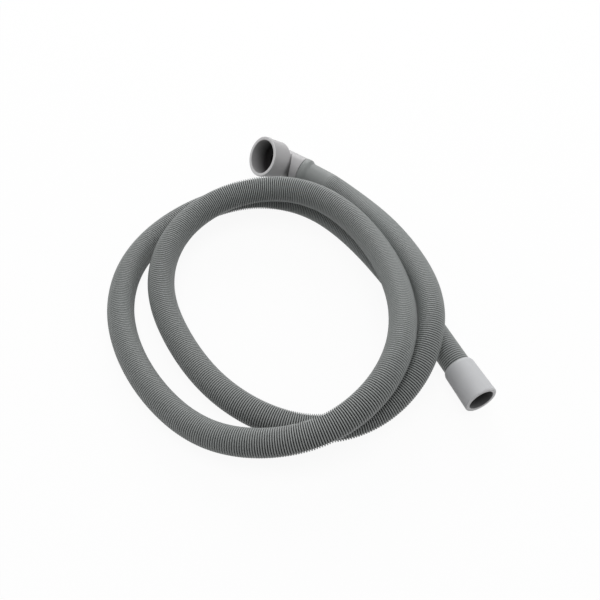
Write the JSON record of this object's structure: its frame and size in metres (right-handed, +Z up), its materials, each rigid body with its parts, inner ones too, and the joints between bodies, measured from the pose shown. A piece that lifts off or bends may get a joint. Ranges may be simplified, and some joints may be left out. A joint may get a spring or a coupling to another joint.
{
  "type": "dishwasher drain hose",
  "caption": "Corrugated drain hose laid in a loose coil, with a moulded elbow cuff on one end and a straight sleeve cuff on the other.",
  "frame": {"origin": "on the surface the coil lies on, under the middle of the whole", "axes": "+Z up; the straight cuff opens along -Y; the elbow cuff's cup opens along -X and 36 degrees up"},
  "size_m": [0.2838, 0.345, 0.0589],
  "materials": {
    "hose_plastic": "satin grey corrugated wall",
    "elbow_plastic": "satin light grey moulding",
    "sleeve_rubber": "matt light grey moulding"
  },
  "bodies": {
    "root": {"corrugated_hose": "hose_plastic", "elbow_cuff": "elbow_plastic", "straight_cuff": "sleeve_rubber"}
  },
  "joints": []
}
